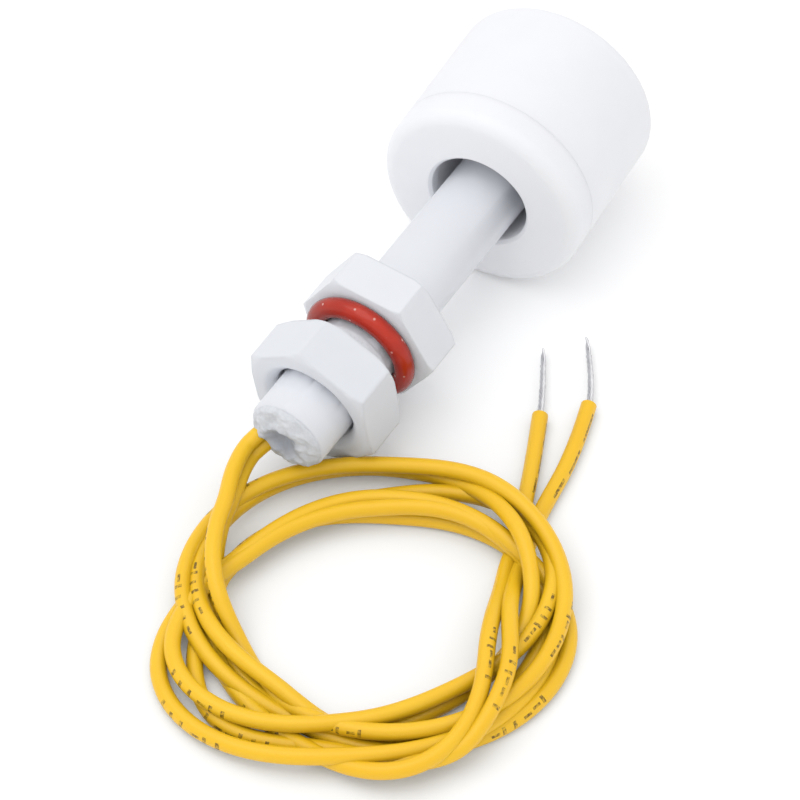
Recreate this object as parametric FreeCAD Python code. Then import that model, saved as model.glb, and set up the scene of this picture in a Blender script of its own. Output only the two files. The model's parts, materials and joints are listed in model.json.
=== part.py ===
"""Float level switch: a hollow float that slides on a hex-flanged stem, with a clamping nut,
an O-ring and two thin leads that lie in a loose coil. Millimetres, +Z up, lying on the surface."""
import FreeCAD, Part
import math
import os

V = FreeCAD.Vector
os.makedirs("parts", exist_ok=True)

# ---------------------------------------------------------------- driving dimensions
# Switch body. x runs along its own axis from the nut's outer face (x = 0) to the tip.
THREAD_D = 9.8            # outside of the M10 x 1.5 thread
THREAD_START = -1.0
PILOT_D = 9.1             # plain end of the body, where the leads come out
PILOT_START = -4.3
PILOT_EDGE = 0.3
FLANGE_X = 10.9
FLANGE_AF = 14.7          # across flats
FLANGE_T = 5.0
FLANGE_ROLL = 1.9         # how far the hexagon is turned about the axis, degrees
STEM_D = 8.8
TIP_BEYOND_CLIP = 2.05    # stem from the clip's near face to the tip
TIP_ROUND = 0.9
TIP_WALL = 3.8            # solid end beyond the reed's bore
CABLE_BORE_D = 6.0        # wide bore behind the thread
CABLE_BORE_END = 12.0
REED_BORE_D = 4.4         # narrow bore along the stem

# Nut
NUT_T = 6.0
NUT_AF = 14.65
NUT_ROLL = 23.5
NUT_BORE_CLEAR = 0.05     # radial, running fit on the thread
NUT_MOUTH_D = 11.8        # countersink at the outer face

# O-ring
RING_SECTION = 2.3
RING_FIT = 0.05           # radial, in the relief
RELIEF_D = 9.0            # undercut between thread and flange, where the ring sits
RELIEF_L = 2.6

# Float
FLOAT_D = 24.4
FLOAT_L = 20.6
FLOAT_BORE_D = 11.8
FLOAT_WALL = 1.2
FLOAT_TUBE_WALL = 1.0
FLOAT_ROUND_NEAR = 1.7
FLOAT_ROUND_FAR = 1.5
CAP_DEPTH = 4.2           # how far the cap's skirt reaches
CAP_FACE_T = 1.85         # thickness of the cap's face, seen as a seam inside the bore
LAP_WALL = 0.7
MAGNET_L = 4.0
MAGNET_OD = 19.0
MAGNET_X = 7.0
FLOAT_NEAR_X = 32.54      # float's near face, measured on the floor plan
FLOAT_SIDE = -0.48        # the loose float sits a little off the stem's line
FLOAT_SWING = 5.2         # and turned by this much within its clearance, degrees

# Stop clip on the tip
CLIP_REST = 0.1           # gap left between the float's far face and the clip
CLIP_T = 0.9
CLIP_OD = 14.6
CLIP_GROOVE_D = 7.2
CLIP_GAP = 5.0            # mouth of the C

# Reed switch and joints inside the stem; z offsets are from the body's axis
REED_Z = -1.0
RETURN_Z = 1.1
GLASS_L = 14.0
LOOP_ROOM = 4.6               # from the glass to the end of its bore, for the bent wire
GLASS_D = 2.3
GLASS_WALL = 0.35
REED_WIRE_D = 0.56
BLADE_W, BLADE_T = 1.1, 0.2
JOINT_X0, JOINT_X1 = 25.5, 28.0
JOINT_D = 1.4
SLEEVE_D = 2.0
SLEEVE_X0, SLEEVE_X1 = 24.5, 29.5
CORE_X = 20.0             # where the insulation is stripped inside the stem
LEAD_STUB = 1.2           # straight end of the insulation before the joint
POTTING_END = 8.0         # how deep the potting fills the cable bore
POTTING_DOME = 1.15       # how far it stands proud of the body's end

# Leads
LEAD_D = 1.8
CORE_D = 0.8
LEAD_SPLIT_X = -2.0       # inner lead ends and cord begins, inside the potting
EXIT_A = (1.75, 0.3)      # y, z of lead a at the split, from the body's axis
EXIT_B = (1.2, -1.45)

# Cord waypoints on the floor plan, before the whole part is centred
LEAD_A_EXIT = [(-9.0, 2.7, 7.5), (-14.2, 2.3, 4.1), (-19.0, -0.6, 2.6)]
LEAD_B_EXIT = [(-8.0, 2.0, 5.6), (-12.9, 1.0, 2.6), (-17.6, -2.6, 2.4)]
TAIL_A = [(6.0, -23.0, 0.9), (12.5, -20.7, 0.9), (18.2, -18.0, 0.9)]
TAIL_B = [(5.4, -26.1, 0.9), (15.5, -24.0, 0.9), (22.4, -21.7, 0.9)]
TIP_A = [(18.2, -18.0, 0.9), (20.9, -16.72, 0.9), (26.5, -13.3, 0.9)]
TIP_B = [(22.4, -21.7, 0.9), (24.77, -20.91, 0.9), (30.6, -16.5, 0.9)]

# Coil: outer shape of the lying turns
COIL_CENTRE = (-15.3, -17.0)
COIL_OUTER = (23.6, 21.6)     # half widths along and across the long direction
COIL_INNER = (14.8, 12.0)
COIL_ANGLE = 150.0
COIL_H = 5.3
COIL_ROUND = 1.6
COIL_CLEAR = 0.35             # kept around the nut and the body

# ---------------------------------------------------------------- how the switch lies
# The nut stands on its lowest corner and the stem rests on the lip of the float's bore.
NUT_R = NUT_AF / math.sqrt(3.0)
LOW_CORNER = min(math.sin(math.radians(NUT_ROLL + 60.0 * k)) for k in range(6)) * NUT_R
BORE_PLAY = (FLOAT_BORE_D - STEM_D) / 2.0
LIP_REST = 0.07               # gap left between the stem and the lip
STEM_LOW = math.sqrt((BORE_PLAY - LIP_REST) ** 2 - FLOAT_SIDE ** 2)
STEM_Z_AT_FLOAT = FLOAT_D / 2.0 - STEM_LOW
TILT = 0.0
for _ in range(8):            # tilt and height follow from each other
    BODY_Z = -LOW_CORNER * math.cos(TILT)
    TILT = math.atan((STEM_Z_AT_FLOAT - BODY_Z) / FLOAT_NEAR_X)
BODY = FreeCAD.Placement(V(0, 0, BODY_Z), FreeCAD.Rotation(V(0, 1, 0), -math.degrees(TILT)))
FLOAT = FreeCAD.Placement(V(FLOAT_NEAR_X, FLOAT_SIDE, FLOAT_D / 2.0),
                          FreeCAD.Rotation(V(0, 0, 1), FLOAT_SWING))

# The clip stands just clear of the float, whose far face leans against it both ways. The tip,
# the reed's bore and the glass follow the clip.
SWING = math.radians(FLOAT_SWING)
FACE_LEAN = math.hypot(math.cos(SWING) * math.sin(TILT), math.sin(SWING))
CLIP_X = (FLOAT_L + CLIP_REST + math.cos(SWING) * FLOAT_NEAR_X + math.sin(SWING) * FLOAT_SIDE
          + CLIP_OD / 2.0 * FACE_LEAN) / (math.cos(SWING) * math.cos(TILT))
TIP_X = CLIP_X + TIP_BEYOND_CLIP
REED_BORE_END = TIP_X - TIP_WALL
GLASS_X1 = REED_BORE_END - LOOP_ROOM
GLASS_X0 = GLASS_X1 - GLASS_L


# ---------------------------------------------------------------- small helpers
def rod(x0, x1, r, y=0.0, z=0.0):
    """Cylinder along x."""
    return Part.makeCylinder(r, x1 - x0, V(x0, y, z), V(1, 0, 0))


def tube(x0, x1, r_out, r_in, y=0.0, z=0.0):
    return rod(x0, x1, r_out, y, z).cut(rod(x0 - 1, x1 + 1, r_in, y, z))


def turned(points):
    """Solid of revolution about x from (x, radius) points."""
    wire = Part.makePolygon([V(x, 0, r) for x, r in points] + [V(points[0][0], 0, points[0][1])])
    return Part.Face(wire).revolve(V(0, 0, 0), V(1, 0, 0), 360)


def hexagon(x0, x1, across_flats, roll, corner_cut):
    """Hexagonal prism along x whose corners are turned down at 30 degrees on both ends."""
    r = across_flats / math.sqrt(3.0)
    pts = [V(x0, r * math.cos(math.radians(roll + 60 * k)), r * math.sin(math.radians(roll + 60 * k)))
           for k in range(7)]
    prism = Part.Face(Part.makePolygon(pts)).extrude(V(x1 - x0, 0, 0))
    slope = corner_cut * math.tan(math.radians(30))
    crown = turned([(x0, 0), (x0, r - corner_cut), (x0 + slope, r), (x1 - slope, r),
                    (x1, r - corner_cut), (x1, 0)])
    return prism.common(crown)


def cord_path(points):
    """Straight runs joined by tangent arcs through a list of waypoints."""
    pts = [V(*p) for p in points]
    runs = [(pts[i + 1] - pts[i]).Length for i in range(len(pts) - 1)]
    edges, start, radii = [], pts[0], []
    for i in range(1, len(pts) - 1):
        u = (pts[i] - pts[i - 1]).normalize()
        w = (pts[i + 1] - pts[i]).normalize()
        half = u.getAngle(w) / 2.0
        cut = 0.45 * min(runs[i - 1], runs[i])
        radii.append(cut / math.tan(half))
        a, b = pts[i] - u * cut, pts[i] + w * cut
        mid_dir = (w - u).normalize()
        centre = pts[i] + mid_dir * (radii[-1] / math.cos(half))
        mid = centre - mid_dir * radii[-1]
        edges.append(Part.LineSegment(start, a).toShape())
        edges.append(Part.Arc(a, mid, b).toShape())
        start = b
    edges.append(Part.LineSegment(start, pts[-1]).toShape())
    return Part.Wire(edges), radii


def cord(name, points, r):
    """Round tube along a waypoint list; prints its bend radii and checks its volume."""
    wire, radii = cord_path(points)
    first = V(*points[1]) - V(*points[0])
    ring = Part.Wire([Part.makeCircle(r, V(*points[0]), first)])
    solid = wire.makePipeShell([ring], True, False)
    if solid.Volume < 0:
        solid.reverse()
    expect = math.pi * r * r * wire.Length
    print(name, "bend radii", [round(q, 1) for q in radii], "length", round(wire.Length, 2),
          "volume ratio", round(solid.Volume / expect, 4))
    return solid


# ---------------------------------------------------------------- switch body
def stem_body():
    t, p, s = THREAD_D / 2, PILOT_D / 2, STEM_D / 2
    far = FLANGE_X + FLANGE_T
    relief, g = FLANGE_X - RELIEF_L, RELIEF_D / 2
    outline = turned([(PILOT_START, 0), (PILOT_START, p - PILOT_EDGE), (PILOT_START + PILOT_EDGE, p),
                      (THREAD_START, p), (THREAD_START + t - p, t), (relief - t + g, t),
                      (relief, g), (FLANGE_X, g), (FLANGE_X, s), (TIP_X - TIP_ROUND, s), (TIP_X - 0.3 * TIP_ROUND, s - 0.3 * TIP_ROUND),
                      (TIP_X, s - TIP_ROUND), (TIP_X, 0)])
    collar = turned([(far - 0.5, 0), (far - 0.5, s + 0.5), (far, s + 0.5), (far + 0.15, s + 0.15),
                     (far + 0.5, s), (far + 0.5, 0)])
    body = outline.fuse(hexagon(FLANGE_X, far, FLANGE_AF, FLANGE_ROLL, 0.55)).fuse(collar)
    body = body.cut(tube(CLIP_X, CLIP_X + CLIP_T, s + 1, CLIP_GROOVE_D / 2))
    step = (CABLE_BORE_D - REED_BORE_D) / 2
    bore = turned([(PILOT_START - 1, 0), (PILOT_START - 1, CABLE_BORE_D / 2),
                   (CABLE_BORE_END, CABLE_BORE_D / 2), (CABLE_BORE_END + step, REED_BORE_D / 2),
                   (REED_BORE_END - 0.8, REED_BORE_D / 2), (REED_BORE_END, REED_BORE_D / 2 - 0.8),
                   (REED_BORE_END, 0)])
    return body.cut(bore).removeSplitter()


def hex_nut():
    r = THREAD_D / 2 + NUT_BORE_CLEAR
    mouth = NUT_MOUTH_D / 2
    hole = turned([(-1, 0), (-1, mouth), (0, mouth), (mouth - r, r), (NUT_T - 0.6, r),
                   (NUT_T, r + 0.6), (NUT_T + 1, r + 0.6), (NUT_T + 1, 0)])
    return hexagon(0, NUT_T, NUT_AF, NUT_ROLL, 0.9).cut(hole)


def o_ring():
    c = RING_SECTION / 2
    return Part.makeTorus(RELIEF_D / 2 + RING_FIT + c, c, V(FLANGE_X - c, 0, 0), V(1, 0, 0))


def stop_clip():
    inner = CLIP_GROOVE_D / 2
    ring = tube(CLIP_X, CLIP_X + CLIP_T, CLIP_OD / 2, inner)
    mouth = Part.makeBox(CLIP_T + 2, CLIP_GAP, CLIP_OD, V(CLIP_X - 1, -CLIP_GAP / 2, 0))
    lead_in = Part.makeCylinder(1.1, CLIP_T + 2, V(CLIP_X - 1, 0, inner + 1.2), V(1, 0, 0))
    return ring.cut(mouth).cut(lead_in)


# ---------------------------------------------------------------- float
def float_cap():
    """Near end of the float: a face with a short skirt, rounded at its rim."""
    r, f, w = FLOAT_D / 2, FLOAT_ROUND_NEAR, FLOAT_WALL
    b = FLOAT_BORE_D / 2
    cup = turned([(0, 0), (0, r), (CAP_DEPTH, r), (CAP_DEPTH, 0)])
    cup = cup.makeFillet(f, [e for e in cup.Edges if near_rim(e, 0, r)])
    cut = turned([(CAP_FACE_T, 0), (CAP_FACE_T, r - w - 0.9), (CAP_FACE_T + 0.9, r - w),
                  (CAP_DEPTH + 1, r - w), (CAP_DEPTH + 1, 0)])
    hole = turned([(-1, 0), (-1, b + 0.35), (0, b + 0.35), (0.35, b), (CAP_FACE_T + 1, b),
                   (CAP_FACE_T + 1, 0)])
    return cup.cut(cut).cut(hole)


def float_shell():
    """Rest of the float: outer wall, far face, inner tube, the lap into the cap."""
    r, f, w = FLOAT_D / 2, FLOAT_ROUND_FAR, FLOAT_WALL
    b = FLOAT_BORE_D / 2
    t = b + FLOAT_TUBE_WALL
    can = turned([(CAP_DEPTH, 0), (CAP_DEPTH, r), (FLOAT_L, r), (FLOAT_L, 0)])
    can = can.makeFillet(f, [e for e in can.Edges if near_rim(e, FLOAT_L, r)])
    space = turned([(CAP_DEPTH - 1, 0), (CAP_DEPTH - 1, r - w), (FLOAT_L - w - 0.8, r - w),
                    (FLOAT_L - w, r - w - 0.8), (FLOAT_L - w, 0)])
    sleeve = turned([(CAP_FACE_T, 0), (CAP_FACE_T, t), (MAGNET_X + MAGNET_L, t),
                     (MAGNET_X + MAGNET_L, t + 0.9), (MAGNET_X + MAGNET_L + 0.9, t + 0.9),
                     (MAGNET_X + MAGNET_L + 1.8, t), (FLOAT_L, t), (FLOAT_L, 0)])
    lap = tube(CAP_DEPTH - 1.2, CAP_DEPTH + 1.4, r - w, r - w - LAP_WALL)
    hole = turned([(0, 0), (0, b), (FLOAT_L - 0.35, b), (FLOAT_L, b + 0.35), (FLOAT_L + 1, b + 0.35),
                   (FLOAT_L + 1, 0)])
    return can.cut(space).fuse(sleeve).fuse(lap).cut(hole).removeSplitter()


def near_rim(edge, x, r):
    box = edge.BoundBox
    return abs(box.XMin - x) < 1e-4 and abs(box.XMax - x) < 1e-4 and abs(box.ZMax - r) < 1e-3


def ring_magnet():
    inner = FLOAT_BORE_D / 2 + FLOAT_TUBE_WALL
    ring = tube(MAGNET_X, MAGNET_X + MAGNET_L, MAGNET_OD / 2, inner)
    rims = [e for e in ring.Edges if abs(e.BoundBox.ZMax - MAGNET_OD / 2) < 1e-3
            and e.BoundBox.XLength < 1e-4]
    return ring.makeChamfer(0.3, rims)


# ---------------------------------------------------------------- inside the stem
def reed_glass():
    r, w = GLASS_D / 2, GLASS_WALL
    x0, x1, s = GLASS_X0, GLASS_X1, REED_WIRE_D / 2
    body = turned([(x0, 0), (x0, s + 0.15), (x0 + 0.4, r - 0.15), (x0 + 1.2, r), (x1 - 1.2, r),
                   (x1 - 0.4, r - 0.15), (x1, s + 0.15), (x1, 0)])
    inside = turned([(x0 + 1.6, 0), (x0 + 2.2, r - w), (x1 - 2.2, r - w), (x1 - 1.6, 0)])
    body = body.cut(inside)
    body.translate(V(0, 0, REED_Z))
    return body.cut(rod(x0 - 1, x0 + 3, s, 0, REED_Z)).cut(rod(x1 - 3, x1 + 1, s, 0, REED_Z))


def reed_near():
    """Lead and blade on the joint's side."""
    x = GLASS_X0 + 2.4
    lead = rod(JOINT_X1, x, REED_WIRE_D / 2, 0, REED_Z)
    mid = (GLASS_X0 + GLASS_X1) / 2
    blade = Part.makeBox(mid + 0.6 - x, BLADE_W, BLADE_T, V(x, -BLADE_W / 2, REED_Z - BLADE_T - 0.05))
    return lead.fuse(blade.fuse(rod(x - 0.8, x + 0.3, REED_WIRE_D / 2, 0, REED_Z))).removeSplitter()


def reed_far():
    """Blade, lead out of the far seal, the bend and the run back beside the glass."""
    x, s = GLASS_X1 - 2.4, REED_WIRE_D / 2
    mid = (GLASS_X0 + GLASS_X1) / 2
    blade = Part.makeBox(x - mid + 0.6, BLADE_W, BLADE_T, V(mid - 0.6, -BLADE_W / 2, REED_Z + 0.05))
    turn_x, bend = GLASS_X1 + 1.4, (RETURN_Z - REED_Z) / 2
    out = rod(x - 0.3, turn_x, s, 0, REED_Z)
    profile = Part.Face(Part.Wire([Part.makeCircle(s, V(turn_x, 0, REED_Z), V(1, 0, 0))]))
    loop = profile.revolve(V(turn_x, 0, REED_Z + bend), V(0, -1, 0), 180)
    back = rod(JOINT_X1, turn_x, s, 0, RETURN_Z)
    return out.fuse([blade, loop, back]).removeSplitter()


def return_sleeve():
    return tube(SLEEVE_X1 + 0.6, GLASS_X1 + 0.6, REED_WIRE_D / 2 + 0.22, REED_WIRE_D / 2, 0, RETURN_Z)


def inner_lead(exit_yz, z):
    """Insulated lead from the stripped end to the split inside the potting."""
    end = V(LEAD_SPLIT_X, exit_yz[0], exit_yz[1])
    start = V(CORE_X, 0, z)
    along = end - start
    slope = Part.makeCylinder(LEAD_D / 2, along.Length, start, along)
    elbow = Part.makeSphere(LEAD_D / 2, start)
    straight = rod(CORE_X, CORE_X + LEAD_STUB, LEAD_D / 2, 0, z)
    return slope.fuse([elbow, straight]).cut(core(z))


def core(z):
    return rod(CORE_X + LEAD_STUB / 6.0, JOINT_X0, CORE_D / 2, 0, z)


def joint_barrel(z):
    barrel = rod(JOINT_X0, JOINT_X1, JOINT_D / 2, 0, z)
    return barrel.makeChamfer(0.2, [e for e in barrel.Edges if e.BoundBox.XLength < 1e-4])


def joint_sleeve(z):
    return tube(SLEEVE_X0, SLEEVE_X1, SLEEVE_D / 2, JOINT_D / 2, 0, z)


def potting(lead_parts):
    """Cast plug in the cable bore with a low dome over the end of the body."""
    r, p = CABLE_BORE_D / 2, PILOT_D / 2
    x, d, e = PILOT_START, POTTING_DOME, PILOT_EDGE
    plug = turned([(x, 0), (x - d, 0), (x - 0.96 * d, p * 0.5), (x - 0.8 * d, p * 0.76),
                   (x - 0.4 * d, p * 0.9), (x, p - e), (x, r), (POTTING_END, r),
                   (POTTING_END, 0)])
    for solid in lead_parts:
        plug = plug.cut(solid)
    return plug


# ---------------------------------------------------------------- leads
def in_world(point):
    p = BODY.multVec(V(*point))
    return (p.x, p.y, p.z)


def exit_points(exit_yz, z, waypoints):
    """The cord starts where the inner lead ends and leaves in the same direction."""
    start = V(LEAD_SPLIT_X, exit_yz[0], exit_yz[1])
    along = (start - V(CORE_X, 0, z)).normalize()
    corner = start + along * (abs(waypoints[0][0]) - abs(LEAD_SPLIT_X))
    return [in_world((start.x, start.y, start.z)), in_world((corner.x, corner.y, corner.z))] + waypoints[1:]


def lead_coil(clear):
    """Outer shape of the lying turns: a low oval ring, hollowed where the switch stands over it."""
    frame = FreeCAD.Placement(V(COIL_CENTRE[0], COIL_CENTRE[1], 0),
                              FreeCAD.Rotation(V(0, 0, 1), COIL_ANGLE))

    def oval(size, h):
        flat = Part.Face(Part.Wire([Part.Ellipse(V(0, 0, 0), size[0], size[1]).toShape()]))
        return flat.extrude(V(0, 0, h))
    outer = oval(COIL_OUTER, COIL_H)
    outer = outer.makeChamfer(COIL_ROUND, [e for e in outer.Edges if e.BoundBox.ZMin > COIL_H - 1e-3])
    ring = outer.cut(oval(COIL_INNER, COIL_H + 1))
    ring.Placement = frame
    return ring.cut(clear)


def clearance_shape():
    """Room kept free of the coil: the nut with its travel, the thread and the body's end."""
    c = COIL_CLEAR
    nut = hexagon(-c, FLANGE_X + FLANGE_T + c, NUT_AF + 2 * c, NUT_ROLL, 0.1)
    end = rod(PILOT_START - 1.2, 0, THREAD_D / 2 + c)
    room = nut.fuse(end)
    room.Placement = BODY
    return room


# ---------------------------------------------------------------- build and place
def placed(shape, placement):
    shape = shape.copy()
    shape.transformShape(placement.toMatrix(), True)
    return shape


inner_a, inner_b = inner_lead(EXIT_A, RETURN_Z), inner_lead(EXIT_B, REED_Z)
exit_a = exit_points(EXIT_A, RETURN_Z, LEAD_A_EXIT)
exit_b = exit_points(EXIT_B, REED_Z, LEAD_B_EXIT)
cord_a, cord_b = cord("lead_a_exit", exit_a, LEAD_D / 2), cord("lead_b_exit", exit_b, LEAD_D / 2)

parts = {}
for name, shape in {
    "stem_body": stem_body(), "hex_nut": hex_nut(), "o_ring": o_ring(), "stop_clip": stop_clip(),
    "reed_glass": reed_glass(), "reed_near": reed_near(), "reed_far": reed_far(),
    "return_sleeve": return_sleeve(),
    "inner_lead_a": inner_a, "inner_lead_b": inner_b,
    "core_a": core(RETURN_Z), "core_b": core(REED_Z),
    "joint_a": joint_barrel(RETURN_Z), "joint_b": joint_barrel(REED_Z),
    "joint_sleeve_a": joint_sleeve(RETURN_Z), "joint_sleeve_b": joint_sleeve(REED_Z),
}.items():
    parts[name] = placed(shape, BODY)
parts["potting"] = placed(potting([inner_a, inner_b]), BODY).cut(cord_a).cut(cord_b)
for name, shape in {"float_cap": float_cap(), "float_shell": float_shell(),
                    "ring_magnet": ring_magnet()}.items():
    parts[name] = placed(shape, FLOAT)

box = FreeCAD.BoundBox()
for shape in parts.values():
    box.add(shape.optimalBoundingBox(False, False))

parts["lead_a_exit"], parts["lead_b_exit"] = cord_a, cord_b
parts["lead_a_tail"] = cord("lead_a_tail", TAIL_A, LEAD_D / 2)
parts["lead_b_tail"] = cord("lead_b_tail", TAIL_B, LEAD_D / 2)
parts["lead_coil"] = lead_coil(clearance_shape())
parts["lead_a_tip"] = cord("lead_a_tip", TIP_A, CORE_D / 2)
parts["lead_b_tip"] = cord("lead_b_tip", TIP_B, CORE_D / 2)

# Origin: bottom centre of the switch, leads left out
shift = V(-(box.XMin + box.XMax) / 2, -(box.YMin + box.YMax) / 2, -box.ZMin)
print("tilt", round(math.degrees(TILT), 3), "body height", round(BODY_Z, 4), "shift",
      [round(c, 4) for c in shift])
print("exit a", [[round(c, 3) for c in p] for p in exit_a])
print("exit b", [[round(c, 3) for c in p] for p in exit_b])
for name, shape in parts.items():
    shape = shape.copy()
    shape.translate(shift)
    if not shape.isValid() or len(shape.Solids) != 1:
        print("CHECK", name, shape.isValid(), len(shape.Solids))
    out = shape.Solids[0] if len(shape.Solids) == 1 else shape
    out.exportStep("parts/%s.step" % name)
print("nodes", len(parts))
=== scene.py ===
import bpy, bmesh, json, math
from mathutils import Matrix, Vector, noise


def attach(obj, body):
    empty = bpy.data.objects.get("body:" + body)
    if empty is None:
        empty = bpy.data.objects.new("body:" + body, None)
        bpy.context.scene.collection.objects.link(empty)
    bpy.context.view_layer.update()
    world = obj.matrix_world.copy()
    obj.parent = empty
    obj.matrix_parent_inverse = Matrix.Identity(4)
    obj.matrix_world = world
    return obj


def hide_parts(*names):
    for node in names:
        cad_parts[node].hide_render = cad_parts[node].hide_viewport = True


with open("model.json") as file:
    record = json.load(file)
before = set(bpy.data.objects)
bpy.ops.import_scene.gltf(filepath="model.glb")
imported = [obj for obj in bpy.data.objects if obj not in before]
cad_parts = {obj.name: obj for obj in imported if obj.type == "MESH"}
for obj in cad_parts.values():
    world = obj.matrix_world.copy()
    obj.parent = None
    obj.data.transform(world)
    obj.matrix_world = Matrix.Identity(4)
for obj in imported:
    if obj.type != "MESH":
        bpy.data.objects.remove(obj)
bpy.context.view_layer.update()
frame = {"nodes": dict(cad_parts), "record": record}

# ---------------------------------------------------------------- camera
# The switch is looked down on at 48 degrees, along its stem from the lead end,
# with a long lens, so that its near and far ends are almost at one scale.
camera = bpy.data.objects.new("camera", bpy.data.cameras.new("camera"))
bpy.context.collection.objects.link(camera)
forward = Vector((0.55436, 0.36542, -0.74776)).normalized()
right = Vector((0.55091, -0.83456, 0.00059)).normalized()
up = right.cross(forward)
camera.matrix_world = (Matrix.Translation((-0.20794, -0.13064, 0.27440))
                       @ Matrix((right, up, -forward)).transposed().to_4x4())
camera.data.sensor_width = 36.0
camera.data.lens = 146.34
camera.data.shift_x = 0.01608
camera.data.shift_y = -0.0964
camera.data.clip_start = 0.01
bpy.context.scene.camera = camera

# ---------------------------------------------------------------- leads
# Two hook-up wires with 1.8 mm yellow PVC insulation, extruded and printed along their length.
# They come out of the potting side by side, lie on the table in a loose coil of a little over
# three and a half turns that nothing ties, and end stripped.
LEAD_D = 0.0018
PLAN_ZERO = Vector((-0.0254475, -0.0004622, 0.0))   # zero of the route's plan, in the frame
# Points of the two ends in mm: the plan's x and y, and the height over the table.
EXIT = {
    "a": [(-2.017, 1.75, 8.527), (-5.2, 3.9, 6.1), (-7.6, 3.8, 5.9), (-10.4, 3.0, 5.9)],
    "b": [(-1.884, 1.2, 6.782), (-5.2, 3.4, 4.5), (-7.2, 3.4, 4.2), (-9.4, 2.8, 4.1)],
}
TAIL = {
    "a": [(12.5, -20.7, 0.9), (18.2, -18.0, 0.9)],
    "b": [(15.5, -24.0, 0.9), (22.4, -21.7, 0.9)],
}
COIL_CENTRE = (-13.5, -17.0)
# How each lead winds, at a few places in each lap: degrees turned, distance from the middle
# in mm, and the layer it lies in, where 0 is on the table and 1 is on one lead.
WIND = {
    "a": [(90, 18.5, 2.8), (120, 16.5, 2.2), (150, 14.5, 0), (210, 17, 1), (300, 20, 1.2),
          (345, 19, 1.9), (390, 17.5, 1), (475, 20, 1), (540, 16.5, 0), (590, 19, 0),
          (650, 21, 0), (690, 16, 1), (750, 13, 1), (820, 14.5, 1), (868, 24, 0),
          (930, 20, 1), (1020, 19, 0), (1105, 12, 0), (1195, 16.5, 0), (1265, 18.5, 0),
          (1305, 22, 1.2), (1355, 13.5, 2), (1400, 14.5, 0), (1425, 21.5, 0)],
    "b": [(85, 19, 1.8), (130, 16, 0), (200, 16.5, 0), (245, 14.5, 0), (300, 16.5, 1),
          (330, 17, 2), (385, 18.5, 0), (475, 18.5, 1), (530, 15, 1), (570, 16.5, 0),
          (665, 18, 0), (700, 15, 1), (755, 11.5, 1), (820, 14, 1), (865, 22, 0.7),
          (925, 16, 1), (970, 14.5, 1), (1045, 19.5, 1), (1110, 14.5, 0), (1155, 14, 0),
          (1210, 18, 0), (1245, 21.5, 0), (1280, 18.5, 0), (1315, 21.5, 1), (1335, 19, 2),
          (1370, 14.5, 1.8), (1400, 16, 0), (1420, 22, 0)],
}
STEP = 9.0                                          # degrees from point to point of a turn


def glide(stations, k, column, t):
    """Cubic between two stations, level with the run of their neighbours."""
    p = [stations[min(max(k + i, 0), len(stations) - 1)] for i in (-1, 0, 1, 2)]
    width = p[2][0] - p[1][0]
    slopes = [(p[i + 1][column] - p[i - 1][column]) / (p[i + 1][0] - p[i - 1][0]) * width
              for i in (1, 2)]
    a, b = p[1][column], p[2][column]
    return ((2 * t ** 3 - 3 * t ** 2 + 1) * a + (t ** 3 - 2 * t ** 2 + t) * slopes[0]
            + (3 * t ** 2 - 2 * t ** 3) * b + (t ** 3 - t ** 2) * slopes[1])


def coil_turns(stations):
    """Points of the coil at every step, from the first station of the wind to the last."""
    points, degree, k = [], stations[0][0], 0
    while degree <= stations[-1][0]:
        while degree > stations[k + 1][0]:
            k += 1
        t = (degree - stations[k][0]) / (stations[k + 1][0] - stations[k][0])
        reach, layer = glide(stations, k, 1, t), max(glide(stations, k, 2, t), 0)
        turn = math.radians(degree)
        points.append((COIL_CENTRE[0] + reach * math.cos(turn),
                       COIL_CENTRE[1] + reach * math.sin(turn), 1000 * LEAD_D * (0.5 + layer)))
        degree += STEP
    return points


def on_plan(points):
    """Points of a lead's route, from the plan's millimetres to the frame."""
    return [Vector(p) / 1000 + PLAN_ZERO for p in points]


def add_spline(curve, points):
    """One open wire through the control points, fixed at both ends."""
    spline = curve.splines.new("NURBS")
    spline.points.add(len(points) - 1)
    for point, place in zip(spline.points, points):
        point.co = (*place, 1.0)
    spline.order_u = 3
    spline.use_endpoint_u = True
    spline.resolution_u = 6


def new_curve(name, diameter):
    """An empty round wire of that diameter, or a bare line where it is 0."""
    curve = bpy.data.curves.new(name, "CURVE")
    curve.dimensions = "3D"
    curve.bevel_depth = diameter / 2
    curve.bevel_resolution = 5
    curve.use_fill_caps = diameter > 0
    thing = bpy.data.objects.new(name, curve)
    bpy.context.collection.objects.link(thing)
    return thing


def linear(code):
    """sRGB hex to the linear colour that a shader socket takes."""
    channels = [int(code[i:i + 2], 16) / 255 for i in (1, 3, 5)]
    return [c / 12.92 if c <= 0.04045 else ((c + 0.055) / 1.055) ** 2.4 for c in channels] + [1.0]


def add_node(tree, kind, settings=None, **links):
    """One node with its settings. A link or value is named for its socket, with _ for a space."""
    node = tree.nodes.new(kind)
    for key, value in (settings or {}).items():
        setattr(node, key, value)
    for key, value in links.items():
        numbered = key[0] == "i" and key[1:].isdigit()
        socket = node.inputs[int(key[1:]) if numbered else key.replace("_", " ")]
        if isinstance(value, bpy.types.NodeSocket):
            tree.links.new(value, socket)
        else:
            socket.default_value = value
    return node


def new_material(name, **sockets):
    """A material by that name, its node tree and its shader with these constant sockets."""
    made = bpy.data.materials.new(name)
    made.use_nodes = True
    shader = made.node_tree.nodes["Principled BSDF"]
    for key, value in sockets.items():
        shader.inputs[key.replace("_", " ")].default_value = value
    return made, made.node_tree, shader


def faint_bounce(tree, shader, colour, bounced):
    """Gives the shader its colour, and sends a paler one on to whatever lies next to the piece."""
    onward = add_node(tree, "ShaderNodeLightPath").outputs["Is Diffuse Ray"]
    mixed = add_node(tree, "ShaderNodeMix", {"data_type": "RGBA"}, i0=onward, i6=colour,
                     i7=linear(bounced))
    tree.links.new(mixed.outputs[2], shader.inputs["Base Color"])


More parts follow.
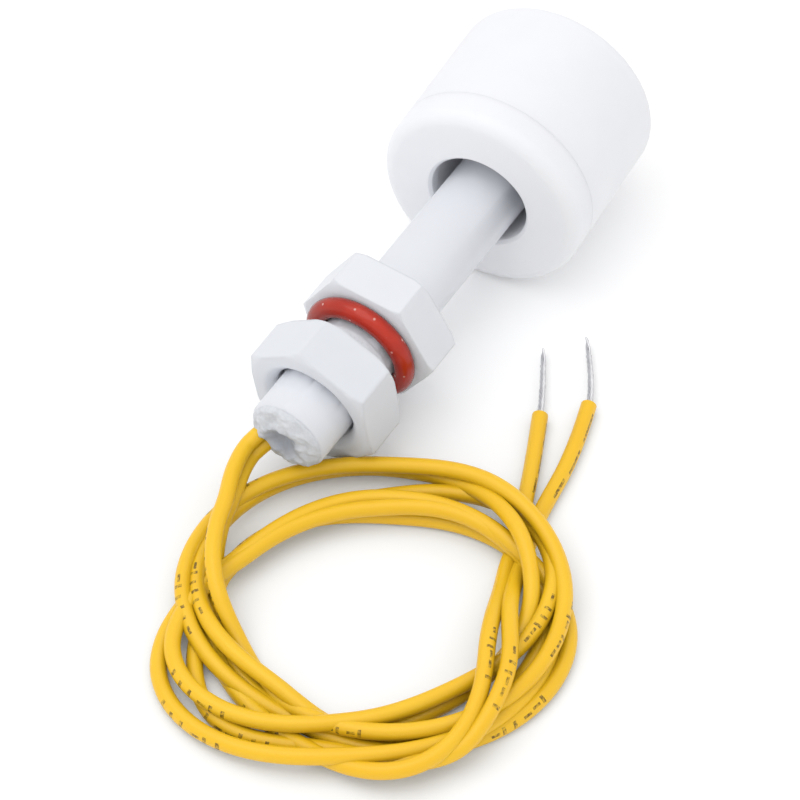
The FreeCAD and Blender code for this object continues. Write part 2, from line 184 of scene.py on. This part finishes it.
LEAD_LONG = 0.45                                     # each one, potting to stripped end
MARK, ROW = 0.0012, 6.0                              # length of lead to a mark, and marks to a row
DASH_LONG, BAR_LONG = 0.75, 0.30                     # as parts of MARK
DASH_HALF, BAR_HALF = 0.03, 0.08                     # half their widths, as parts of a turn
PRINT_SIDE, STRAY = 0.25, 0.7                        # where the rows lie and stray, in turns


def printed_pvc():
    """Plasticised PVC, extruded: glossy but soft, warm yellow, a little see-through, with rows of
    worn inked dashes and bars along it. The ink is drawn on the lead's own UV map."""
    made, tree, shader = new_material("yellow_pvc", Roughness=0.38, IOR=1.5, Subsurface_Weight=0.1,
                                      Subsurface_Radius=(1.0, 0.75, 0.1), Subsurface_Scale=0.0005)
    uv = add_node(tree, "ShaderNodeTexCoord").outputs["UV"]
    where = add_node(tree, "ShaderNodeSeparateXYZ", Vector=uv).outputs
    space = add_node(tree, "ShaderNodeTexCoord").outputs["Object"]
    # slow changes of shade along the lead, 12 mm long
    shade = add_node(tree, "ShaderNodeTexNoise", Vector=space, Scale=1 / 0.012, Detail=2.0)
    body = add_node(tree, "ShaderNodeMix", {"data_type": "RGBA"}, i0=shade.outputs["Fac"],
                    i6=linear("#FBC112"), i7=linear("#FFCE26"))
    # chance says for each mark whether it is a dash or a bar, and for each row whether it is inked
    marks = add_node(tree, "ShaderNodeMath", {"operation": "MULTIPLY"}, i0=where[0],
                     i1=LEAD_LONG / MARK).outputs[0]
    mark = add_node(tree, "ShaderNodeMath", {"operation": "FLOOR"}, i0=marks).outputs[0]
    chance = add_node(tree, "ShaderNodeTexWhiteNoise", {"noise_dimensions": "1D"}, W=mark)
    draw = add_node(tree, "ShaderNodeSeparateColor", Color=chance.outputs["Color"]).outputs
    bar = add_node(tree, "ShaderNodeMath", {"operation": "GREATER_THAN"}, i0=draw[1],
                   i1=0.5).outputs[0]
    rows = add_node(tree, "ShaderNodeMath", {"operation": "DIVIDE"}, i0=marks, i1=ROW).outputs[0]
    row = add_node(tree, "ShaderNodeMath", {"operation": "FLOOR"}, i0=rows).outputs[0]
    word = add_node(tree, "ShaderNodeTexWhiteNoise", {"noise_dimensions": "1D"}, W=row)
    inked = add_node(tree, "ShaderNodeMath", {"operation": "GREATER_THAN"},
                     i0=word.outputs["Value"], i1=0.66).outputs[0]
    # how far round the lead a place lies from its row, which drifts slowly
    slow = add_node(tree, "ShaderNodeMath", {"operation": "MULTIPLY"}, i0=marks, i1=0.02).outputs[0]
    drift = add_node(tree, "ShaderNodeTexNoise", {"noise_dimensions": "1D"}, W=slow,
                     Scale=1.0).outputs[0]
    drift = add_node(tree, "ShaderNodeMath", {"operation": "MULTIPLY"}, i0=drift,
                     i1=STRAY).outputs[0]
    side = add_node(tree, "ShaderNodeMath", {"operation": "ADD"}, i0=drift,
                    i1=PRINT_SIDE - STRAY / 2).outputs[0]
    off = add_node(tree, "ShaderNodeMath", {"operation": "SUBTRACT"}, i0=where[1],
                   i1=side).outputs[0]
    off = add_node(tree, "ShaderNodeMath", {"operation": "ADD"}, i0=off, i1=0.5).outputs[0]
    off = add_node(tree, "ShaderNodeMath", {"operation": "FRACT"}, i0=off).outputs[0]
    off = add_node(tree, "ShaderNodeMath", {"operation": "SUBTRACT"}, i0=off, i1=0.5).outputs[0]
    lift = add_node(tree, "ShaderNodeMath", {"operation": "MULTIPLY"}, i0=draw[0],
                    i1=0.06).outputs[0]
    off = add_node(tree, "ShaderNodeMath", {"operation": "SUBTRACT"}, i0=off, i1=lift).outputs[0]
    off = add_node(tree, "ShaderNodeMath", {"operation": "ABSOLUTE"}, i0=off).outputs[0]
    # a place has ink where it lies within its mark's width and length
    wider = add_node(tree, "ShaderNodeMath", {"operation": "MULTIPLY"}, i0=bar,
                     i1=BAR_HALF - DASH_HALF).outputs[0]
    half = add_node(tree, "ShaderNodeMath", {"operation": "ADD"}, i0=wider, i1=DASH_HALF).outputs[0]
    within = add_node(tree, "ShaderNodeMath", {"operation": "LESS_THAN"}, i0=off,
                      i1=half).outputs[0]
    shorter = add_node(tree, "ShaderNodeMath", {"operation": "MULTIPLY"}, i0=bar,
                       i1=DASH_LONG - BAR_LONG).outputs[0]
    reach = add_node(tree, "ShaderNodeMath", {"operation": "SUBTRACT"}, i0=DASH_LONG,
                     i1=shorter).outputs[0]
    gone = add_node(tree, "ShaderNodeMath", {"operation": "FRACT"}, i0=marks).outputs[0]
    beside = add_node(tree, "ShaderNodeMath", {"operation": "LESS_THAN"}, i0=gone,
                      i1=reach).outputs[0]
    # rubbed off in patches 0.4 mm across
    worn = add_node(tree, "ShaderNodeTexNoise", Vector=space, Scale=1 / 0.0004, Detail=2.0)
    strength = add_node(tree, "ShaderNodeMapRange", {"clamp": True}, Value=worn.outputs["Fac"],
                        From_Min=0.36, From_Max=0.6, To_Min=0.2, To_Max=0.85).outputs[0]
    for part in (within, beside, inked):
        strength = add_node(tree, "ShaderNodeMath", {"operation": "MULTIPLY"}, i0=strength,
                            i1=part).outputs[0]
    ink = add_node(tree, "ShaderNodeMix", {"data_type": "RGBA"}, i0=strength,
                   i6=body.outputs[2], i7=linear("#4A370E"))
    faint_bounce(tree, shader, ink.outputs[2], "#A39468")
    skin = add_node(tree, "ShaderNodeTexNoise", Vector=space, Scale=1 / 0.0007, Detail=3.0)
    bump = add_node(tree, "ShaderNodeBump", Strength=0.06, Distance=0.0002,
                    Height=skin.outputs["Fac"])
    tree.links.new(bump.outputs["Normal"], shader.inputs["Normal"])
    return made


pvc = printed_pvc()
lead_objects = {}
for lead in "ab":
    route = on_plan(EXIT[lead] + coil_turns(WIND[lead]) + TAIL[lead])
    wire = new_curve("lead_" + lead, LEAD_D)
    add_spline(wire.data, route)
    wire.data.materials.append(pvc)
    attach(wire, "switch")
    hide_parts("lead_%s_exit" % lead, "lead_%s_tail" % lead, "lead_coil")
    lead_objects[lead] = wire, route

# ---------------------------------------------------------------- stripped ends
# Seven tinned copper strands of each lead, stripped bare for 9 mm, twisted by hand
# and dipped in solder at the end.
TIP = {
    "a": [(18.2, -18.0, 0.9), (20.9, -16.72, 0.9), (26.5, -13.3, 0.9)],
    "b": [(22.4, -21.7, 0.9), (24.77, -20.91, 0.9), (30.6, -16.5, 0.9)],
}
STRAND_D = 0.00026
TWIST = 0.0042                                       # length of one turn of the twist


def tinned_copper():
    """Copper wire drawn bright and tinned: silver white, lightly brushed by handling."""
    made, tree, shader = new_material("tinned_copper", Metallic=1.0, Roughness=0.28)
    space = add_node(tree, "ShaderNodeTexCoord").outputs["Object"]
    film = add_node(tree, "ShaderNodeTexNoise", Vector=space, Scale=1 / 0.0008, Detail=2.0)
    tone = add_node(tree, "ShaderNodeMix", {"data_type": "RGBA"}, i0=film.outputs["Fac"],
                    i6=linear("#BDBDC0"), i7=linear("#E4E4E6"))
    tree.links.new(tone.outputs[2], shader.inputs["Base Color"])
    return made


tin = tinned_copper()
for lead in "ab":
    guide = new_curve("guide", 0.0)
    add_spline(guide.data, on_plan(TIP[lead]))
    line = [v.co.copy() for v in bpy.data.meshes.new_from_object(guide).vertices]
    bpy.data.objects.remove(guide)
    along = (line[-1] - line[0]).normalized()
    side = along.cross(Vector((0, 0, 1))).normalized()
    tip = new_curve("tip_" + lead, STRAND_D)
    tip.data.bevel_resolution = 3
    for strand in range(7):
        out = 0.0 if strand == 6 else STRAND_D * 1.02
        points, gone = [], 0.0
        for k, place in enumerate(line):
            gone += (place - line[k - 1]).length if k else 0.0
            angle = math.tau * (gone / TWIST + strand / 6)
            loose = 1.0 + 0.25 * noise.noise(Vector((strand * 7.3, gone * 400, 0.0)))
            outward = side * math.cos(angle) + Vector((0, 0, math.sin(angle)))
            points.append(place + outward * out * loose)
        add_spline(tip.data, points[:len(points) - strand % 3])
    tip.data.materials.append(tin)
    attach(tip, "switch")
    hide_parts("lead_%s_tip" % lead)
    wire, route = lead_objects[lead]

# ---------------------------------------------------------------- stem
# One polypropylene moulding: plain end round the leads, M10 thread, hex flange and the long
# stem that the float slides on. The thread's tooth is a helix on a core turned down to its
# root, made where the nut covers it.
thread = next(m for m in frame["record"]["mounts"] if m["name"] == "tank_thread")
along = -Vector(thread["axis"])
lift = along.cross(Vector((0, 1, 0)))
# From the switch's own millimetres, x along the axis from the nut's outer face, to the frame.
MOUNT_IN = 0.0075                                    # from that face to the thread's mount
SWITCH = (Matrix.Translation(Vector(thread["pos_m"]) - along * MOUNT_IN)
          @ Matrix((along, (0, 1, 0), lift)).transposed().to_4x4() @ Matrix.Scale(0.001, 4))
THREAD_R, ROOT_R, PITCH, PLAIN_R = 4.8, 4.2, 1.5, 4.55     # PLAIN_R is the end round the leads
THREAD_X = (2.0, 5.8)                                # from end to end of the tooth, in the nut
RUNOUT = 0.2                                         # slope from the root to the plain body
TOOTH_INSET = (0.5, 0.7)                             # the tooth's own ends, in from THREAD_X
FOOT, CREST = 0.68, 0.12                             # half its width at the root and at the top


def moulded_pp(name, light, dark, edge):
    """Natural polypropylene, injection moulded: milky white, waxy, soft highlights, with a few
    specks of dirt, a very fine orange peel and edges rounded by that many metres."""
    made, tree, shader = new_material(name, Roughness=0.5, IOR=1.49, Subsurface_Weight=0.2,
                                      Subsurface_Radius=(1.0, 1.0, 1.0), Subsurface_Scale=0.0012)
    space = add_node(tree, "ShaderNodeTexCoord").outputs["Object"]
    cloud = add_node(tree, "ShaderNodeTexNoise", Vector=space, Scale=1 / 0.009, Detail=3.0,
                     Roughness=0.6)
    tone = add_node(tree, "ShaderNodeMix", {"data_type": "RGBA"}, i0=cloud.outputs["Fac"],
                    i6=linear(dark), i7=linear(light))
    # specks about 0.3 mm across, in one cell of thirty
    cell = add_node(tree, "ShaderNodeTexVoronoi", Vector=space, Scale=1 / 0.0035)
    chosen = add_node(tree, "ShaderNodeSeparateColor", Color=cell.outputs["Color"])
    rare = add_node(tree, "ShaderNodeMath", {"operation": "GREATER_THAN"},
                    i0=chosen.outputs["Red"], i1=0.965)
    spot = add_node(tree, "ShaderNodeMapRange", {"clamp": True}, Value=cell.outputs["Distance"],
                    From_Min=0.10, From_Max=0.04, To_Min=0.0, To_Max=0.55)
    speck = add_node(tree, "ShaderNodeMath", {"operation": "MULTIPLY"}, i0=rare.outputs[0],
                     i1=spot.outputs[0])
    colour = add_node(tree, "ShaderNodeMix", {"data_type": "RGBA"}, i0=speck.outputs[0],
                      i6=tone.outputs[2], i7=linear("#6E7076"))
    tree.links.new(colour.outputs[2], shader.inputs["Base Color"])
    peel = add_node(tree, "ShaderNodeTexNoise", Vector=space, Scale=1 / 0.0006, Detail=2.0)
    rounded = add_node(tree, "ShaderNodeBevel", {"samples": 8}, Radius=edge)
    bump = add_node(tree, "ShaderNodeBump", Strength=0.05, Distance=0.0002,
                    Height=peel.outputs["Fac"], Normal=rounded.outputs["Normal"])
    tree.links.new(bump.outputs["Normal"], shader.inputs["Normal"])
    return made


def cad_copy(node):
    """A bmesh of a CAD node with its loose triangles joined, in the switch's own millimetres."""
    bm = bmesh.new()
    bm.from_mesh(frame["nodes"][node].data)
    bmesh.ops.transform(bm, matrix=SWITCH.inverted(), verts=bm.verts)
    bmesh.ops.remove_doubles(bm, verts=bm.verts, dist=1e-4)
    return bm


def finished(bm, name, material, place=SWITCH, soften=0.0):
    """Places a piece in the frame, smooths its round faces and eases its edges by that many mm."""
    bmesh.ops.dissolve_limit(bm, angle_limit=math.radians(0.3), verts=bm.verts, edges=bm.edges)
    bmesh.ops.transform(bm, matrix=place, verts=bm.verts)
    mesh = bpy.data.meshes.new(name)
    bm.to_mesh(mesh)
    bm.free()
    mesh.materials.clear()
    mesh.materials.append(material)
    mesh.shade_smooth()
    mesh.set_sharp_from_angle(angle=math.radians(32))
    thing = bpy.data.objects.new(name, mesh)
    bpy.context.collection.objects.link(thing)
    if soften:
        ease = thing.modifiers.new("eased_edges", "BEVEL")
        ease.width = soften / 1000
        ease.segments = 2
        ease.limit_method = "ANGLE"
        ease.angle_limit = math.radians(28)
        ease.harden_normals = True
    return thing


pp = moulded_pp("polypropylene", "#EBEDF2", "#E4E6EC", 0.0004)
bm = cad_copy("stem_body")
for x in (*THREAD_X, THREAD_X[0] - RUNOUT, THREAD_X[0] + RUNOUT, THREAD_X[1] - RUNOUT):
    bmesh.ops.bisect_plane(bm, geom=bm.verts[:] + bm.edges[:] + bm.faces[:], dist=1e-5,
                           plane_co=(x, 0, 0), plane_no=(1, 0, 0))
for v in bm.verts:
    reach = math.hypot(v.co.y, v.co.z)
    if v.co.x < THREAD_X[0] - RUNOUT / 2 and reach > PLAIN_R:
        v.co.yz = v.co.yz * (PLAIN_R / reach)
    if THREAD_X[0] + RUNOUT / 2 < v.co.x < THREAD_X[1] - RUNOUT / 2 and reach > THREAD_R:
        v.co.yz = v.co.yz * (ROOT_R / reach)
stem = finished(bm, "stem", pp)
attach(stem, "switch")
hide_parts("stem_body")

bm = bmesh.new()
tooth = [bm.verts.new((x + THREAD_X[0] + TOOTH_INSET[0], 0, r)) for x, r in
         ((-FOOT, ROOT_R - 0.1), (-CREST, THREAD_R), (CREST, THREAD_R), (FOOT, ROOT_R - 0.1))]
bm.faces.new(tooth)
turns, per_turn = (THREAD_X[1] - THREAD_X[0] - sum(TOOTH_INSET)) / PITCH, 48
bmesh.ops.spin(bm, geom=bm.verts[:] + bm.edges[:] + bm.faces[:], cent=(0, 0, 0), axis=(1, 0, 0),
               dvec=(PITCH / per_turn, 0, 0), angle=math.tau * turns, steps=round(turns * per_turn),
               use_merge=False)
bmesh.ops.recalc_face_normals(bm, faces=bm.faces)
stem_thread = finished(bm, "stem_thread", pp)
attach(stem_thread, "switch")

# ---------------------------------------------------------------- potting
# Epoxy filled with chalk, poured into the cable bore round the leads and heaped over the end.
# It set rough, with a hollow in the middle where it shrank.
END_X, END_R, HEAP = -4.3, 4.35, 1.1                 # where it ends, its radius and its height
HOLLOW_AT, HOLLOW_R, HOLLOW = (0.2, -0.3), 2.1, 0.9  # the shrunk middle: place, radius, depth
NOTCH_AT, NOTCH_R2, NOTCH = (3.4, -2.2), 2.6, 0.9    # the low place at the rim, radius squared
LUMPS = 0.42                                         # height of the lumps
BORE_R, FILLED_TO = 2.9, 2.0                         # the bore under it, and how far in it goes


def chalky_epoxy():
    """Filled epoxy: matt, off-white, blotched, with fine pits, and painted shade greying it down in
    its hollow.
    """
    made, tree, shader = new_material("filled_epoxy", Roughness=0.8, IOR=1.5)
    space = add_node(tree, "ShaderNodeTexCoord").outputs["Object"]
    blotch = add_node(tree, "ShaderNodeTexNoise", Vector=space, Scale=1 / 0.0016, Detail=5.0,
                      Roughness=0.65)
    tone = add_node(tree, "ShaderNodeMix", {"data_type": "RGBA"}, i0=blotch.outputs["Fac"],
                    i6=linear("#C3C7CE"), i7=linear("#F2F4F8"))
    # painted shade: greyer towards the middle of the hollow, where shade falls in it
    middle = add_node(tree, "ShaderNodeVectorMath", {"operation": "DISTANCE"}, i0=space,
                      i1=SWITCH @ Vector((END_X - 0.6, *HOLLOW_AT)))
    deep = add_node(tree, "ShaderNodeMapRange", {"clamp": True}, Value=middle.outputs["Value"],
                    From_Min=0.0012, From_Max=0.0027, To_Min=0.8, To_Max=0.0)
    colour = add_node(tree, "ShaderNodeMix", {"data_type": "RGBA"}, i0=deep.outputs[0],
                      i6=tone.outputs[2], i7=linear("#A3A9B5"))
    tree.links.new(colour.outputs[2], shader.inputs["Base Color"])
    pits = add_node(tree, "ShaderNodeTexNoise", Vector=space, Scale=1 / 0.00035, Detail=4.0)
    bump = add_node(tree, "ShaderNodeBump", Strength=0.5, Distance=0.0002,
                    Height=pits.outputs["Fac"])
    tree.links.new(bump.outputs["Normal"], shader.inputs["Normal"])
    return made


bm = bmesh.new()
outline = [(END_X - HEAP * (1 - (k / 30) ** 3.4) ** 0.7, END_R * k / 30) for k in range(31)]
outline += [(END_X + 0.05, BORE_R), (FILLED_TO, BORE_R), (FILLED_TO, 0.0)]
verts = [bm.verts.new((x, 0, r)) for x, r in outline]
edges = [bm.edges.new(pair) for pair in zip(verts, verts[1:])]
bmesh.ops.spin(bm, geom=verts + edges, cent=(0, 0, 0), axis=(1, 0, 0), angle=math.tau, steps=120,
               use_merge=True)
bmesh.ops.remove_doubles(bm, verts=bm.verts, dist=1e-4)
bmesh.ops.recalc_face_normals(bm, faces=bm.faces)
for v in bm.verts:
    if v.co.x < END_X + 0.02:
        lumps = noise.fractal(v.co * 0.6 + Vector((3.1, 0, 0)), 0.9, 2.1, 3)
        reach = math.dist(v.co.yz, HOLLOW_AT) / (HOLLOW_R + 0.5 * noise.noise(v.co * 0.8))
        v.co.x -= LUMPS * lumps * min(1.0, (END_R - math.hypot(v.co.y, v.co.z)) / 0.8 + 0.45)
        v.co.x += HOLLOW * max(0.0, 1.0 - reach ** 2)
        v.co.x += NOTCH * max(0.0, 1.0 - math.dist(v.co.yz, NOTCH_AT) ** 2 / NOTCH_R2)
        v.co.yz *= 1.0 + 0.03 * noise.noise(v.co * 1.7)
potting = finished(bm, "potting_fill", chalky_epoxy())
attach(potting, "switch")
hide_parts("potting")

# ---------------------------------------------------------------- sealing ring
# An O-ring of red silicone rubber, moulded, stretched over the thread against the flange.
# It has a satin shine and picks up lint.
def silicone():
    """Silicone rubber: deep orange red, satin, with painted shade at its edges, pale lint and
    painted glints.
    """
    made, tree, shader = new_material("silicone_rubber", Roughness=0.2, IOR=1.44,
                                      Subsurface_Weight=0.06, Subsurface_Radius=(1.0, 0.2, 0.1),
                                      Subsurface_Scale=0.0005)
    space = add_node(tree, "ShaderNodeTexCoord").outputs["Object"]
    cloud = add_node(tree, "ShaderNodeTexNoise", Vector=space, Scale=1 / 0.002, Detail=3.0)
    tone = add_node(tree, "ShaderNodeMix", {"data_type": "RGBA"}, i0=cloud.outputs["Fac"],
                    i6=linear("#B32614"), i7=linear("#D4371D"))
    # pale specks in every cell, partly lint and partly painted glints of the ring's shine
    grain = add_node(tree, "ShaderNodeTexVoronoi", Vector=space, Scale=1 / 0.0012)
    dust_and_glints = add_node(tree, "ShaderNodeMapRange", {"clamp": True}, Value=grain.outputs["Distance"],
                    From_Min=0.17, From_Max=0.10, To_Min=0.0, To_Max=0.7)
    # painted shade: darker towards the ring's edges, where it turns away from view
    turned_away = add_node(tree, "ShaderNodeLayerWeight", Blend=0.25).outputs["Facing"]
    painted_edge_shade = add_node(tree, "ShaderNodeMix", {"data_type": "RGBA"}, i0=turned_away,
                      i6=tone.outputs[2], i7=linear("#4E0F0A"))
    colour = add_node(tree, "ShaderNodeMix", {"data_type": "RGBA"}, i0=dust_and_glints.outputs[0],
                      i6=painted_edge_shade.outputs[2], i7=linear("#F0C8BE"))
    faint_bounce(tree, shader, colour.outputs[2], "#B8ABA8")
    return made


ring = frame["nodes"]["o_ring"]
ring.data.materials.clear()
ring.data.materials.append(silicone())

# ---------------------------------------------------------------- nut
# A polypropylene hex nut, moulded, with corners turned down and a wide mouth, screwed on by
# hand until it is 2.6 mm from the ring.
bm = cad_copy("hex_nut")
# the nut's polypropylene is a little greyer than the stem's: painted shade
nut_pp = moulded_pp("nut_polypropylene", "#E8EAEF", "#DFE2E8", 0.0007)
nut = finished(bm, "nut", nut_pp, soften=0.16)
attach(nut, "nut")
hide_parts("hex_nut")

# ---------------------------------------------------------------- stop clip
# A C-shaped clip of polypropylene, snapped into the groove at the tip so that the float
# can't come off.
bm = cad_copy("stop_clip")
clip = finished(bm, "clip", pp, soften=0.1)
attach(clip, "switch")
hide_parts("stop_clip")

# ---------------------------------------------------------------- float
# Two thin polypropylene shells, welded round the seam near the cap, with a ring magnet sealed
# in round the bore.
# the float's polypropylene is a little paler than the stem's: painted light
float_pp = moulded_pp("float_polypropylene", "#F8F9FD", "#F1F2F7", 0.0001)
for node in ("float_cap", "float_shell"):
    bm = cad_copy(node)
    shell = finished(bm, node.replace("float", "ball"), float_pp, soften=0.04)
    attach(shell, "float")
    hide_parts(node)

# ---------------------------------------------------------------- sealed parts
# The reed switch with its wires, soldered joints and sleeves, sealed inside the stem, and the
# ring magnet sealed inside the float.
def plain(name, light, dark, grain, **sockets):
    """A material with a soft mottle between two shades, each patch of it that many metres long."""
    made, tree, shader = new_material(name, **sockets)
    space = add_node(tree, "ShaderNodeTexCoord").outputs["Object"]
    mottle = add_node(tree, "ShaderNodeTexNoise", Vector=space, Scale=1 / grain, Detail=3.0)
    tone = add_node(tree, "ShaderNodeMix", {"data_type": "RGBA"}, i0=mottle.outputs["Fac"],
                    i6=linear(dark), i7=linear(light))
    tree.links.new(tone.outputs[2], shader.inputs["Base Color"])
    return made


# pale green glass of the reed's tube, clear and glossy
glass = plain("reed_glass", "#DCEBE2", "#CFE2D7", 0.002, Roughness=0.05, IOR=1.5,
              Transmission_Weight=0.85)
# nickel iron of the reeds, grey and bright
nickel_iron = plain("nickel_iron", "#C9C7C2", "#B5B3AF", 0.001, Metallic=1.0, Roughness=0.3)
# solder of the joints, dull silver
solder = plain("tin_solder", "#C4C6C9", "#A9ABAF", 0.0006, Metallic=1.0, Roughness=0.42)
# fibre glass sleeving over the joints and the return wire, off-white and matt
sleeving = plain("glass_fibre_sleeve", "#E8E4D8", "#D9D4C6", 0.0005, Roughness=0.75)
# sintered ferrite of the magnet, almost black and matt
ferrite = plain("ferrite", "#3B3A3C", "#2A292B", 0.0008, Roughness=0.7)
MADE_OF = {"reed_glass": glass, "reed_near": nickel_iron, "reed_far": nickel_iron,
           "return_sleeve": sleeving, "inner_lead_a": pvc, "inner_lead_b": pvc, "core_a": tin,
           "core_b": tin, "joint_a": solder, "joint_b": solder, "joint_sleeve_a": sleeving,
           "joint_sleeve_b": sleeving, "ring_magnet": ferrite}
for name, made in MADE_OF.items():
    frame["nodes"][name].data.materials.clear()
    frame["nodes"][name].data.materials.append(made)

# ---------------------------------------------------------------- table and studio light
# A white table under a bright, wide, soft light, so that shadows stay faint.
def table_white():
    """Matt white, lifted a little for the camera alone so that it comes out as plain white."""
    made, tree, shader = new_material("table_white", Base_Color=linear("#FFFFFF"), Roughness=0.9,
                                      Specular_IOR_Level=0.0)
    seen = add_node(tree, "ShaderNodeLightPath").outputs["Is Camera Ray"]
    glow = add_node(tree, "ShaderNodeMath", {"operation": "MULTIPLY"}, i0=seen, i1=0.085)
    tree.links.new(glow.outputs[0], shader.inputs["Emission Strength"])
    shader.inputs["Emission Color"].default_value = (1, 1, 1, 1)
    return made


bm = bmesh.new()
bmesh.ops.create_grid(bm, x_segments=1, y_segments=1, size=2.0)
mesh = bpy.data.meshes.new("table")
bm.to_mesh(mesh)
bm.free()
table = bpy.data.objects.new("table", mesh)
bpy.context.collection.objects.link(table)
table.data.materials.append(table_white())

world = bpy.data.worlds.new("studio")
bpy.context.scene.world = world
world.use_nodes = True
tree = world.node_tree
path = add_node(tree, "ShaderNodeLightPath").outputs
# the room looks white to the camera and in what is glossy or clear, and lights a little less
seen = path["Is Camera Ray"]
for ray in ("Is Glossy Ray", "Is Transmission Ray"):
    seen = add_node(tree, "ShaderNodeMath", {"operation": "MAXIMUM"}, i0=seen,
                    i1=path[ray]).outputs[0]
level = add_node(tree, "ShaderNodeMix", i0=seen, i2=0.80, i3=1.0)
tree.links.new(level.outputs[0], tree.nodes["Background"].inputs["Strength"])
tree.nodes["Background"].inputs["Color"].default_value = (1, 1, 1, 1)

light = bpy.data.lights.new("softbox", "AREA")
light.energy = 1.2
light.size = 0.6
SOFTBOX_AT = Vector((-0.12, 0.12, 0.6))
softbox = bpy.data.objects.new("softbox", light)
softbox.matrix_world = (Matrix.Translation(SOFTBOX_AT)
                        @ SOFTBOX_AT.to_track_quat("Z", "Y").to_matrix().to_4x4())
bpy.context.collection.objects.link(softbox)

bpy.context.scene.view_settings.view_transform = "Standard"
